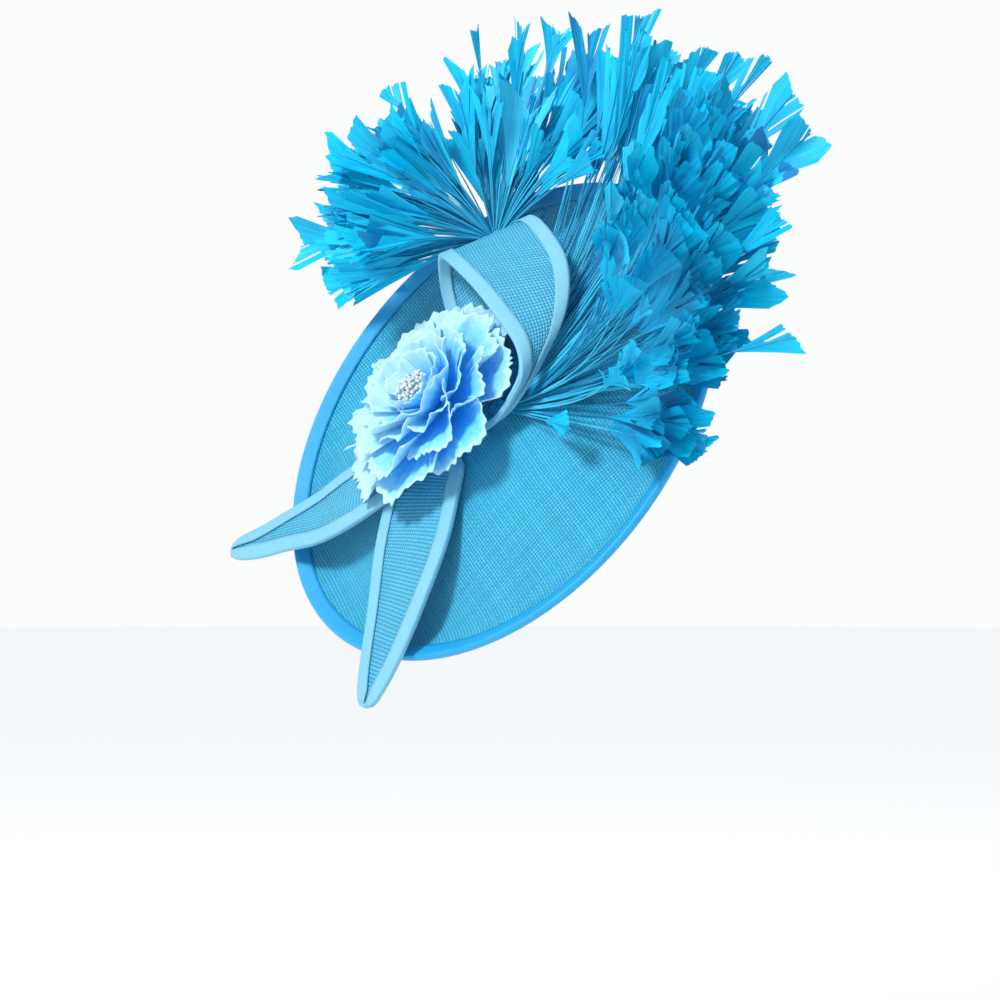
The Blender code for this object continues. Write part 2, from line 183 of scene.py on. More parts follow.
# how far a feather may lie off its layer's elevation, and the power that crowds feathers towards
# their full reach, as (elevation, power)
ELEVATION_SCATTER = (-5.0, 1.5)
END_CROWDING_ROWS = ((4, 0.85), (12, 0.5), (24, 0.35))

# where vanes may start past the loop, as (azimuth, distance), and more for each degree of
# elevation over a limit; and past the side spray's knot
LOOP_CLEAR_ROWS = ((-40, 98), (-10, 146))
LOOP_CLEAR_RISE = 3.5
LOOP_CLEAR_ELEVATION = 16.0
KNOT_CLEAR = 18.0

# the way most vanes turn their flat side, between the saucer's axis and the front
FACING = (0.0, -0.66, 0.75)

# power of a feather's lift along its length, and its droop
MAIN_CURVE = (2.0, 6.0)
SIDE_CURVE = (1.0, 14.0)

# feathers that stand clear of the sprays: u, v and w of the tip, vane length, spread of the
# barbs, slope of the cut, roll
MAIN_SINGLE_ROWS = (
    (241, 66, 40, 62, 12, 0.1, 0), (229, -106, 22, 48, 17, 0.3, 10), (176, -150, 38, 46, 14, 0.1, -20),
    (125, -200, 25, 44, 11, 0.0, 25), (242, -3, 40, 44, 14, -0.6, 30), (17, -98, 30, 34, 15, -0.9, 10),
    (257, -34, 25, 50, 9, -0.9, 0), (252, -12, 25, 44, 12, -1.0, 10), (235, 6, 35, 50, 14, -0.4, 0),
    (243, -82, 30, 50, 18, 0.1, -15),
)
SIDE_SINGLE_ROWS = (
    (176, 113, 95, 38, 5, -1.0, 20), (122, 188, 75, 26, 20, -0.9, 0), (202, 82, 69, 24, 22, 0.3, 0),
    (193, 98, 80, 34, 8, 0.0, 0), (9, 183, 9, 50, 14, -0.6, 0), (2, 171, 30, 50, 16, 0.1, 0),
    (16, 196, 50, 40, 22, 0.3, -10), (131, 122, 60, 40, 14, 0.0, 0), (123, 110, 62, 34, 16, -0.4, 10),
    (141, 103, 60, 44, 13, 0.4, -10), (160, 27, 50, 44, 15, 0.2, 0), (160, 5, 50, 40, 14, -0.4, 10),
    (146, 27, 50, 36, 16, 0.4, -10), (148, 5, 50, 38, 15, 0.0, 10),
)

# how feathers are trimmed: slopes of the cut and their shares, lengths of the vanes, angle and
# number of the barbs and their greatest lengths, and how far vanes roll off the facing way
CUT_SLOPES = (-1.1, -0.4, 0.05, 0.45, 0.9)
CUT_SHARES = (0.20, 0.25, 0.25, 0.20, 0.10)
LEAST_VANE = 22.0
MAIN_VANES = (34, 66)
SIDE_VANES = (28, 58)
BARB_SPREADS = (7.0, 18.0)
BARBS = 14
BARB_LENGTHS = (38, 76)
ROLL_SWING = 26.0
ROLL_LIMIT = 68.0

# tone of the deepest feathers of each spray, its rise to the outermost and its fall on the low side
# (both painted shade), its swing from feather to feather, and the tones that mark bare quills
MAIN_DEEP_TONE = -0.07
SIDE_DEEP_TONE = 0.12
OUTER_TONE_RISE = 0.8
LOW_SIDE_PAINTED_SHADE = 0.2
TONE_SWING = 0.22
SINGLE_TONE = 0.6
BARE_QUILL_TONES = (1.1, 1.3)

STEM_QUILL_RADIUS = 0.42

# the stem's middle line, as (u, v, w)
STEM_ROWS = ((30, 24, 11), (44, 38, 10), (58, 52, 8.8), (72, 67, 9.6), (83, 78, 12.4))

COMB_WIDTH = 72.0
COMB_SPINE = 6.0
COMB_TEETH = 14
TOOTH_LENGTH = 36.0
COMB_THICKNESS = 1.8
COMB_PLACE = (0.0, 14.0, 4.95)
COMB_LEAN = math.radians(5)
TOOTH_HALF_WIDTH = 1.15
TOOTH_OVERLAP = 2.0
COMB_END_INSET = 1.2

FLOOR_RADII = (0.001, 1.5, 4.0, 8.0)
SURROUND_SEEN_COLOUR = (0.97, 0.975, 0.98, 1.0)
SURROUND_LIGHT_COLOUR = (0.92, 0.96, 1.0, 1.0)
SURROUND_LIGHT_STRENGTH = 0.52
LIGHTS_TARGET = (0.0, 0.0, 0.02)
CAMERA_PLACE = (0.0025, -2.0, -0.0502)
CAMERA_LENS = 122.55

# the lights: name, place, extent, setting of its power, and colour
LIGHT_ROWS = (
    ("key", (-1.15, -1.05, 1.45), 0.55, "key_power", (1.0, 1.0, 1.0)),
    ("fill", (1.5, -1.3, 0.4), 1.2, "fill_power", (0.9, 0.96, 1.0)),
    ("back", (0.5, 1.5, 1.2), 1.0, "fill_power", (1.0, 1.0, 1.0)),
)


def unit(vectors):
    """Vectors of length one."""
    return vectors / np.linalg.norm(vectors, axis=-1, keepdims=True)


def smooth_rows(rows, samples):
    """Cubic curve through the rows: each run bends by the differences of its neighbours."""
    knots = np.array(rows, dtype=float)
    padded = np.vstack([2 * knots[0] - knots[1], knots, 2 * knots[-1] - knots[-2]])
    share = np.linspace(0.0, 1.0, samples, endpoint=False)[:, None]
    runs = []
    for before, start, end, after in zip(padded, padded[1:], padded[2:], padded[3:]):
        runs.append(0.5 * (2 * start + (end - before) * share
                           + (2 * before - 5 * start + 4 * end - after) * share ** 2
                           + (3 * start - before - 3 * end + after) * share ** 3))
    return np.vstack(runs + [knots[-1:]])


def follow(rows, places):
    """Values on straight lines through rows of (place, value)."""
    return np.interp(places, *np.array(rows, dtype=float).T)


def arc_lengths(points):
    """Distance along a line of points, from its start."""
    steps = np.linalg.norm(np.diff(points, axis=0), axis=1)
    return np.concatenate([[0.0], np.cumsum(steps)])


def full_turn(steps):
    """Even angles of a full turn, as a row."""
    return np.linspace(0.0, TAU, steps, endpoint=False)[None, :]


def grid_faces(items, rows, columns, around=False):
    """Quads of a batch of grids whose points lie one grid after another; where a grid goes
    around, its last column joins its first."""
    order = np.arange(items * rows * columns).reshape(items, rows, columns)
    if around:
        order = np.concatenate([order, order[:, :, :1]], axis=2)
    quads = np.stack([order[:, :-1, :-1], order[:, 1:, :-1], order[:, 1:, 1:],
                      order[:, :-1, 1:]], axis=-1)
    return quads.reshape(-1, 4)


def make_mesh(name, points, quads, uv=None, tone=None):
    """Mesh from points in the saucer's frame, with a UV in millimetres and a tone per point."""
    mesh = bpy.data.meshes.new(name)
    placed = (np.asarray(points, dtype=float).reshape(-1, 3) @ WORN.T) * MM
    mesh.vertices.add(len(placed))
    mesh.vertices.foreach_set("co", placed.ravel())
    mesh.loops.add(quads.size)
    mesh.loops.foreach_set("vertex_index", quads.ravel())
    mesh.polygons.add(len(quads))
    mesh.polygons.foreach_set("loop_start", np.arange(0, quads.size, 4))
    mesh.update(calc_edges=True)
    if uv is not None:
        layer = mesh.uv_layers.new(name="Cloth")
        spots = np.asarray(uv, dtype=float).reshape(-1, 2)
        layer.uv.foreach_set("vector", spots[quads.ravel()].ravel())
    if tone is not None:
        values = mesh.attributes.new("tone", "FLOAT", "POINT")
        values.data.foreach_set("value", np.asarray(tone, dtype=float).ravel())
    mesh.shade_smooth()
    return mesh


def grid_mesh(name, points, uv=None, around=False):
    """Mesh of one grid of points."""
    return make_mesh(name, points, grid_faces(1, *points.shape[:2], around), uv)


def merge_and_face_out(mesh, outwards=True):
    """Close seams and poles by merging doubles, then turn the faces outwards."""
    bm = bmesh.new()
    bm.from_mesh(mesh)
    bmesh.ops.remove_doubles(bm, verts=bm.verts, dist=1e-6)
    if outwards:
        bmesh.ops.recalc_face_normals(bm, faces=bm.faces)
    bm.to_mesh(mesh)
    bm.free()


def add_piece(mesh, material, nodes=(), thickness=0.0):
    """Object at the origin that rides on the hat and stands for its nodes, with a wall where it
    is a sheet."""
    piece = bpy.data.objects.new(mesh.name, mesh)
    bpy.context.scene.collection.objects.link(piece)
    mesh.materials.append(material)
    if thickness:
        wall = piece.modifiers.new("wall", "SOLIDIFY")
        wall.thickness = thickness * MM
        wall.offset = 0.0
    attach(piece, "root")
    if nodes:
        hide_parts(*nodes)
    return piece


# materials

def new_group(name, inputs, outputs):
    """Empty node group with named sockets: (name, kind, default) and (name, kind)."""
    tree = bpy.data.node_groups.new(name, "ShaderNodeTree")
    for label, kind, default in inputs:
        socket = tree.interface.new_socket(name=label, in_out="INPUT", socket_type="NodeSocket" + kind)
        if default is not None:
            socket.default_value = default
    for label, kind in outputs:
        tree.interface.new_socket(name=label, in_out="OUTPUT", socket_type="NodeSocket" + kind)
    return tree, tree.nodes.new("NodeGroupInput"), tree.nodes.new("NodeGroupOutput")


def feed(tree, made, inputs):
    """Link each named input of a node to its value where that is a socket, or else set it."""
    for label, value in dict(inputs).items():
        if isinstance(value, bpy.types.NodeSocket):
            tree.links.new(value, made.inputs[label])
        else:
            made.inputs[label].default_value = value


def node(tree, kind, inputs=(), **settings):
    """Shader node with its settings and inputs."""
    made = tree.nodes.new("ShaderNode" + kind)
    for label, value in settings.items():
        setattr(made, label, value)
    feed(tree, made, inputs)
    return made


def maths(tree, operation, first, second=0.0):
    return node(tree, "Math", {0: first, 1: second}, operation=operation).outputs[0]


def about_nought(tree, value, extent):
    """Value about a half, made a swing of some extent about nought."""
    return maths(tree, "MULTIPLY", maths(tree, "SUBTRACT", value, 0.5), extent)


def map_range(tree, value, given, wanted=(0.0, 1.0), **settings):
    """Value carried in a straight line, or on the curve that its settings name, from its given
    range to the wanted one."""
    return node(tree, "MapRange", {"Value": value, "From Min": given[0], "From Max": given[1],
                                   "To Min": wanted[0], "To Max": wanted[1]}, **settings).outputs[0]


def mix_colour(tree, share, first, second):
    return node(tree, "Mix", {0: share, 6: first, 7: second}, data_type="RGBA").outputs[2]


def noise(tree, place, scale, detail, roughness=0.5):
    return node(tree, "TexNoise", {"Vector": place, "Scale": scale, "Detail": detail,
                                   "Roughness": roughness}).outputs[0]


def colour(values, shade=1.0):
    return (*(value * shade for value in values), 1.0)


def weave_group():
    """Plain weave: the sines of the two thread counts give each thread's round back, and their
    product lifts warp and weft in turn; the higher of the two shows."""
    tree, given, out = new_group(
        "plain_weave",
        (("Threads", "Vector", None), ("Slub", "Float", 0.5)),
        (("Height", "Float"), ("Hole", "Float"), ("Tone", "Float")))
    parts = node(tree, "SeparateXYZ", {0: given.outputs["Threads"]})
    across, along = parts.outputs[0], parts.outputs[1]
    sine_x = maths(tree, "SINE", maths(tree, "MULTIPLY", across, math.pi))
    sine_y = maths(tree, "SINE", maths(tree, "MULTIPLY", along, math.pi))
    product = maths(tree, "MULTIPLY", sine_x, sine_y)
    back_x, back_y = maths(tree, "ABSOLUTE", sine_x), maths(tree, "ABSOLUTE", sine_y)
    warp, weft = maths(tree, "ADD", back_x, product), maths(tree, "SUBTRACT", back_y, product)
    height = maths(tree, "MULTIPLY", maths(tree, "MAXIMUM", warp, weft), 0.5)
    open_part = maths(tree, "MAXIMUM", back_x, back_y)
    hole = map_range(tree, open_part, (0.42, 0.80), (1.0, 0.0), interpolation_type="SMOOTHSTEP")
    over = maths(tree, "GREATER_THAN", warp, weft)
    thread_x = node(tree, "TexWhiteNoise", {"W": maths(tree, "FLOOR", across)},
                    noise_dimensions="1D").outputs[0]
    shifted = maths(tree, "ADD", maths(tree, "FLOOR", along), 0.37)
    thread_y = node(tree, "TexWhiteNoise", {"W": shifted}, noise_dimensions="1D").outputs[0]
    chosen = maths(tree, "ADD", maths(tree, "MULTIPLY", thread_x, over),
                   maths(tree, "MULTIPLY", thread_y, maths(tree, "SUBTRACT", 1.0, over)))
    swing = about_nought(tree, chosen, given.outputs["Slub"])
    feed(tree, out, {"Height": height, "Hole": hole, "Tone": maths(tree, "ADD", swing, 0.5)})
    return tree


def streak_group():
    """Fine streaks along a surface: noise that is squeezed across and drawn out along it."""
    tree, given, out = new_group(
        "fine_streaks",
        (("Place", "Vector", None), ("Across", "Float", 3.0), ("Along", "Float", 0.1)),
        (("Streak", "Float"), ("Mottle", "Float")))
    parts = node(tree, "SeparateXYZ", {0: given.outputs["Place"]})
    scaled = node(tree, "CombineXYZ", {
        0: maths(tree, "MULTIPLY", parts.outputs[0], given.outputs["Across"]),
        1: maths(tree, "MULTIPLY", parts.outputs[1], given.outputs["Along"])}).outputs[0]
    feed(tree, out, {"Streak": noise(tree, scaled, 1.0, 3.0, 0.6),
                     "Mottle": noise(tree, given.outputs["Place"], 0.06, 2.0)})
    return tree


def new_material(name, roughness, sheen=0.0, sheen_tint=(1, 1, 1, 1), specular=0.5):
    material = bpy.data.materials.new(name)
    material.use_nodes = True
    tree = material.node_tree
    shader = tree.nodes["Principled BSDF"]
    feed(tree, shader, {"Roughness": roughness, "Sheen Weight": sheen, "Sheen Roughness": 0.4,
                        "Sheen Tint": sheen_tint, "Specular IOR Level": specular})
    return material, tree, shader


def group_node(tree, group, **inputs):
    return node(tree, "Group", inputs, node_tree=GROUPS[group])


def bump(tree, shader, height, depth, strength=1.0):
    made = node(tree, "Bump", {"Height": height, "Distance": depth * MM, "Strength": strength})
    feed(tree, shader, {"Normal": made.outputs[0]})


def woven_material(name, light, dark, pitch, depth, gap_shade_share, roughness, slub=0.5, sheen=0.2,
                   turn=0.0):
    """Woven cloth or straw: threads at a pitch in millimetres on the piece's own UV, with painted
    shade in the gaps and on the low parts of the threads, each thread a little lighter or darker than
    the next."""
    material, tree, shader = new_material(name, roughness, sheen, colour(light))
    place = node(tree, "UVMap", uv_map="Cloth").outputs[0]
    threads = node(tree, "Mapping", {"Vector": place, "Rotation": (0.0, 0.0, turn),
                                     "Scale": (1 / pitch[0], 1 / pitch[1], 1.0)}).outputs[0]
    weave = group_node(tree, "weave", Threads=threads, Slub=slub)
    streaks = group_node(tree, "streak", Place=place, Across=0.25, Along=0.25)
    base = mix_colour(tree, weave.outputs["Tone"], colour(light, 0.84), colour(light, 1.2))
    # painted shade: the low parts of the threads and the gaps between them go towards the dark colour
    low = map_range(tree, weave.outputs["Height"], (0.35, 0.8), (0.75 * gap_shade_share, 0.0))
    base = mix_colour(tree, low, base, colour(dark))
    hole = maths(tree, "MULTIPLY", weave.outputs["Hole"], gap_shade_share)
    base = mix_colour(tree, hole, base, colour(dark))
    patch = map_range(tree, streaks.outputs["Mottle"], (0.3, 0.7), (0.0, 0.22))
    base = mix_colour(tree, patch, base, colour(dark, 1.3))
    feed(tree, shader, {"Base Color": base})
    bump(tree, shader, weave.outputs["Height"], depth)
    return material


def petal_material(name, throat, rim):
    """Dyed cloth petal: the throat's colour runs out towards a pale rim along the petal's own
    UV, in faint veins, with a soft crinkle; a faint painted glow lifts the shade and stands for light
    through the cloth."""
    material, tree, shader = new_material(name, 0.75, 0.15, (0.7, 0.9, 1.0, 1.0))
    place = node(tree, "UVMap", uv_map="Cloth").outputs[0]
    veins = group_node(tree, "streak", Place=place, Across=1.1, Along=0.05)
    crinkle = noise(tree, place, 0.22, 4.0)
    swing = about_nought(tree, veins.outputs["Streak"], 0.22)
    depth = node(tree, "Attribute", attribute_name="tone").outputs["Fac"]
    reach = maths(tree, "ADD", maths(tree, "ADD", depth, swing), about_nought(tree, crinkle, 0.22))
    ramp = node(tree, "ValToRGB", {"Fac": reach})
    ramp.color_ramp.interpolation = "EASE"
    stops = ((0.0, colour(throat, 0.8)), (0.24, colour(throat)), (0.42, (0.06, 0.50, 0.96, 1.0)),
             (0.56, (0.22, 0.64, 0.93, 1.0)), (0.74, colour(rim)))
    for index, (position, value) in enumerate(stops):
        given = ramp.color_ramp.elements
        element = given[index] if index < 2 else given.new(position)
        element.position = position
        element.color = value
    # painted glow: the petal's colour is also given off as light
    feed(tree, shader, {"Base Color": ramp.outputs[0], "Emission Color": ramp.outputs[0],
                        "Emission Strength": PAINTED_PETAL_GLOW})
    surface = maths(tree, "ADD", maths(tree, "MULTIPLY", veins.outputs["Streak"], 0.5), crinkle)
    bump(tree, shader, surface, 0.8, 0.7)
    return material


def feather_material(name, light, deep, quill):
    """Dyed feather: barbs as fine streaks on the piece's own UV, between the deep and the light
    colour by the tone, which carries painted shade; tones over one mark bare quills, which go from the
    deep to their own."""
    material, tree, shader = new_material(name, 0.42, 0.25, (0.0, 0.7, 1.0, 1.0), 0.28)
    place = node(tree, "UVMap", uv_map="Cloth").outputs[0]
    barbs = group_node(tree, "streak", Place=place, Across=0.95, Along=0.03)
    tone = node(tree, "Attribute", attribute_name="tone").outputs["Fac"]
    share = maths(tree, "ADD", tone, about_nought(tree, barbs.outputs["Streak"], 1.7))
    share = node(tree, "Clamp", {0: share}).outputs[0]
    base = mix_colour(tree, share, colour(deep), colour(light))
    bare = maths(tree, "GREATER_THAN", tone, BARE_QUILL_TONES[0] - 0.02)
    pale = map_range(tree, tone, BARE_QUILL_TONES)
    base = mix_colour(tree, bare, base, mix_colour(tree, pale, colour(deep), colour(quill)))
    rough = map_range(tree, barbs.outputs["Streak"], (0.0, 1.0), (0.32, 0.6))
    feed(tree, shader, {"Base Color": base, "Roughness": rough})
    bump(tree, shader, barbs.outputs["Streak"], 0.35, 0.8)
    return material


def plain_dyed_material(name, light, deep, roughness, scale, depth, sheen=0.0, coat=0.0):
    """Dyed or moulded surface with a fine grain on Object coordinates."""
    material, tree, shader = new_material(name, roughness, sheen)
    place = node(tree, "TexCoord").outputs["Object"]
    grain = noise(tree, place, scale, 4.0)
    share = map_range(tree, grain, (0.3, 0.7))
    dyed = mix_colour(tree, share, colour(deep), colour(light))
    feed(tree, shader, {"Base Color": dyed, "Coat Weight": coat})
    bump(tree, shader, grain, depth)
    return material


# surfaces

def turned_surface(profile, angle):
    """Points of a profile of (radius, height) pairs that is turned about the upright axis."""
    radius, height = profile[:, :1], profile[:, 1:]
    return np.stack(np.broadcast_arrays(radius * np.cos(angle), radius * np.sin(angle), height),
                    axis=-1)


def fold_profile(width, cloth, gap):
    """Binding's middle line over a cloth edge, as (inward, sideways): flat down one face, round
    the edge on a half circle and back."""
    side = cloth / 2 + gap + BINDING_WALL / 2
    turn = np.linspace(math.pi / 2, -math.pi / 2, 9)
    nose = np.stack([-np.cos(turn) * (gap + BINDING_WALL / 2), np.sin(turn) * side], axis=1)
    flat = np.linspace(width, 0.0, 5)[:-1]
    upper = np.stack([flat, side + 0 * flat], axis=1)
    lower = np.stack([flat[::-1], -side + 0 * flat], axis=1)
    return np.vstack([upper, nose, lower])


def make_saucer(settings):
    """The straw wall's middle line is the smoothed profile; it ends inside the binding."""
    samples = 6
    profile = smooth_rows(SAUCER_ROWS, samples)
    lip = unit(profile[-1] - profile[-1 - samples])
    inside = profile[np.linalg.norm(profile - profile[-1], axis=1) > LIP_INSET]
    profile = np.vstack([inside, profile[-1] - lip * LIP_INSET])
    points = turned_surface(profile, full_turn(SAUCER_SIDES))
    mesh = grid_mesh("saucer_straw", points, points[..., :2], around=True)
    merge_and_face_out(mesh)
    straw = woven_material("woven_straw", settings.straw_colour, settings.straw_gap_shade_colour,
                           STRAW_PITCH, 0.7, 0.95, 0.40, slub=0.9, sheen=0.1, turn=0.25)
    add_piece(mesh, straw, ("saucer_base",), STRAW_THICKNESS)
    return profile


def make_rim_binding(settings, profile):
    """Bias strip folded over the lip, turned about the axis, with shallow puckers along it."""
    edge = profile[-1]
    lip = unit(edge - profile[-2])
    across = np.array([-lip[1], lip[0]])
    fold = fold_profile(RIM_BINDING_WIDTH, STRAW_THICKNESS, TOUCH_GAP)
    line = edge - lip * fold[:, :1] + across * fold[:, 1:]
    angle = full_turn(RIM_SIDES)
    points = turned_surface(line, angle)
    pucker = sum(high * np.sin(angle * number + phase) for high, number, phase in PUCKER_ROWS)
    inward = np.clip(fold[:, 0] / RIM_BINDING_WIDTH, 0, 1)[:, None]
    points[..., 2] += pucker * inward * np.sign(fold[:, 1])[:, None]
    uv = np.stack(np.broadcast_arrays(angle * SAUCER_RADIUS, arc_lengths(line)[:, None]), axis=-1)
    mesh = grid_mesh("rim_binding_satin", points, uv, around=True)
    satin = woven_material("satin_bias", settings.rim_colour, settings.rim_shadow_colour,
                           SATIN_PITCH, 0.12, 0.35, 0.34, slub=0.35, sheen=0.3, turn=BIAS_TURN)
    add_piece(mesh, satin, ("rim_binding",), BINDING_WALL)


def edge_strip(name, nodes, edge, inward, widths, material):
    """Bias strip folded over a cloth edge: the fold's profile is carried along the edge, and its
    nose reaches further where the cloth slants to the edge."""
    upright = np.cross(unit(np.gradient(edge, axis=0)), inward)
    slant = np.linalg.norm(upright, axis=1, keepdims=True).clip(0.5)
    upright = unit(upright)
    fold = fold_profile(1.0, BAND_THICKNESS, BAND_GAP)
    reach = np.where(fold[:, 0] > 0, fold[:, 0] * widths[:, None], fold[:, 0] / slant)
    points = (edge[:, None] + inward[:, None] * reach[..., None]
              + upright[:, None] * fold[None, :, 1:])
    along = arc_lengths(edge)[:, None] + 0 * reach
    uv = np.stack([along, reach * np.sign(fold[None, :, 1] + 1e-9)], axis=-1)
    return add_piece(grid_mesh(name, points, uv), material, nodes, 0.8 * BINDING_WALL)


def make_loop(settings, cloth_material, strip_material):
    """Band ruled in straight lines between its two smoothed edges, with a strip on each."""
    rows = smooth_rows(LOOP_ROWS, 10)
    near, far = rows[:, :3], rows[:, 3:]
    width = np.linalg.norm(far - near, axis=1, keepdims=True)
    across = (far - near) / width
    share = np.linspace(0.0, 1.0, BAND_COLUMNS)[None, :, None]
    cloth = near[:, None] * (1 - share) + far[:, None] * share
    along = arc_lengths((near + far) / 2)[:, None] + 0 * share[..., 0]
    uv = np.stack([share[..., 0] * width, along], axis=-1)
    band = add_piece(grid_mesh("loop_cloth", cloth, uv), cloth_material, ("loop_band",),
                     BAND_THICKNESS)
    strip = np.minimum(settings.binding_width / MM, LOOP_STRIP_SHARE * width[:, 0])
    first = edge_strip("loop_bias_near", ("loop_binding_near",), near, across, strip, strip_material)
    second = edge_strip("loop_bias_far", ("loop_binding_far",), far, -across, strip, strip_material)


def make_tail(name, node_name, rows, settings, cloth_material, strip_material):
    """Pointed strip about its smoothed middle line, crowned as one less the square of the share
    across, with a binding down one edge, round the tip and back."""
    stations = smooth_rows(rows, 9)
    middle, half = stations[:, :3], stations[:, 3:]
    along = unit(np.gradient(middle, axis=0))
    across = unit(np.cross(along, [0.0, 0.0, 1.0]))
    normal = np.cross(across, along)
    share = np.linspace(-1.0, 1.0, BAND_COLUMNS)[None, :, None]
    crown = np.minimum(half / FULL_CROWN_HALF_WIDTH, 1.0)[:, None] * (1 - share ** 2)
    cloth = middle[:, None] + across[:, None] * half[:, None] * share + normal[:, None] * crown
    distance = arc_lengths(middle)[:, None] + 0 * share[..., 0]
    uv = np.stack([share[..., 0] * half, distance], axis=-1)
    tail = add_piece(grid_mesh(name + "_cloth", cloth, uv), cloth_material, (node_name,),
                     BAND_THICKNESS)
    quarter = BAND_COLUMNS // 4
    tip = cloth[-1:, BAND_COLUMNS // 2] + along[-1:] * BAND_GAP
    edge = np.vstack([cloth[:, 0], tip, cloth[::-1, -1]])
    inward = unit(np.vstack([cloth[:, quarter] - cloth[:, 0], -along[-1:],
                             (cloth[:, -1 - quarter] - cloth[:, -1])[::-1]]))
    strip = np.minimum(settings.binding_width / MM, TAIL_STRIP_SHARE * half[:, 0])
    strip = np.concatenate([strip, strip[-1:], strip[::-1]])
    bias = edge_strip(name + "_bias", (node_name + "_binding",), edge, inward, strip, strip_material)


def on_flower(points, level):
    """Points about the flower's axis, which leans towards +v, at a height over the rim plane."""
    lean = np.array(Matrix.Rotation(-FLOWER_LEAN, 3, "X"))
    return (points + [0.0, 0.0, level - FLOWER_BASE]) @ lean.T + [*FLOWER_CENTRE, FLOWER_BASE]


def petal_points(petals, radius, rise, ruffle, turn, tilt, deep, seed):
    """Petals of one ring. Over the share out s and the share across t, a petal's angle is t
    times its half angle, which closes a little towards its end; its reach shrinks with a power of
    t, swings in lobes and is pinked; its height rises with a power of s, cups with the square of
    t and waves towards its end. The tone rises outwards, and painted shade lowers it most on the
    petals that face the shaded side."""
    rng = np.random.default_rng(seed)
    out = np.linspace(0.04, 1.0, PETAL_OUT_STEPS)[None, :, None]
    over = np.linspace(-1.0, 1.0, PETAL_OVER_STEPS)[None, None, :]
    which = np.arange(petals)[:, None, None]
    one = rng.uniform(0.0, 1.0, (6, petals, 1, 1))
    half_angle = math.pi / petals * (1.34 - 0.14 * out ** 3) * (0.94 + 0.12 * one[0])
    centre = TAU * which / petals + turn + 0.10 * (one[1] - 0.5)
    angle = centre + over * half_angle
    pinked = PINK_DEPTH * np.clip((radius - 26) / 30, 0.0, 1.0)
    teeth = pinked * np.abs((over * (3.5 + 2 * one[2]) + 8) % 1 * 2 - 1)
    lobes = LOBE_DEPTH * np.cos(over * (3.5 + 3 * one[3]) + one[4] * 6)
    reach = radius * (0.96 + 0.08 * one[5] - CORNER_CUT * np.abs(over) ** 2.4
                      + (teeth + lobes - 0.04) * out ** 4)
    distance = reach * out
    height = (rise * out ** 1.6 + tilt * over * out ** 0.8
              + CUP_DEPTH * radius * out * over ** 2 * (0.4 + 0.6 * one[2])
              + ruffle * out ** 2.2 * np.cos(over * (5 + 2 * one[1]) + 6 * one[0])
              + 0.45 * out * np.sin(over * 17 + out * 9 + 6 * one[3])
              - END_DROP * radius * np.clip(out - 0.8, 0, 1) * 5 * (one[4] > 0.45))
    points = np.stack([distance * np.cos(angle), distance * np.sin(angle), height], axis=-1)
    uv = np.stack(np.broadcast_arrays(over * radius * 0.4 + 60 * which, distance), axis=-1)
    edge = np.maximum(out, 0.985 * np.abs(over) * np.clip(out * 1.6, 0, 1))
    # a quarter of the depth darkens every petal as dye; the rest is painted shade, growing towards the
    # shaded side
    shaded = 0.5 - 0.5 * np.sin(centre)
    tone = (0.30 + 0.62 * out - deep * (0.25 + 0.75 * shaded) + 0.10 * (one[1] - 0.5)
            + PALE_EDGE_TONE * np.clip((edge - 0.93) / 0.06, 0, 1) + 0 * distance)
    return points, uv, tone


def make_petals(settings):
    """One piece for each ring, a layer higher than the ring outside it."""
    petal = petal_material("dyed_petal", settings.throat_colour, settings.petal_rim_colour)
    for layer, (name, node_name, *shape) in enumerate(PETAL_ROWS):
        points, uv, tone = petal_points(*shape, PETAL_SEED + layer)
        placed = on_flower(points, FLOWER_BASE + layer * PETAL_LAYER)
        mesh = make_mesh(name, placed, grid_faces(*points.shape[:3]), uv=uv, tone=tone)
        add_piece(mesh, petal, (node_name,), PETAL_THICKNESS)


def bead_batch(centres, radii):
    """Small round beads: a coarse sphere, five rings of eight, copied to each centre."""
    polar = np.linspace(0.02, math.pi - 0.02, 5)
    ball = turned_surface(np.stack([np.sin(polar), np.cos(polar)], axis=1), full_turn(8))
    points = centres[:, None, None] + ball[None] * radii[:, None, None, None]
    return points, grid_faces(len(centres), 5, 8, around=True)


def tubes(paths, radii, sides):
    """Thin tubes along a batch of paths: a ring of a few sides is carried along each path."""
    forward = unit(np.gradient(paths, axis=1))
    helper = np.where(np.abs(forward[..., 2:]) < 0.9, [0.0, 0.0, 1.0], [1.0, 0.0, 0.0])
    side = unit(np.cross(forward, helper))
    up = np.cross(side, forward)
    around = full_turn(sides)[0]
    ring = (side[:, :, None] * np.cos(around)[:, None] + up[:, :, None] * np.sin(around)[:, None])
    points = paths[:, :, None] + ring * radii[:, :, None, None]
    return points, grid_faces(*paths.shape[:2], sides, around=True)


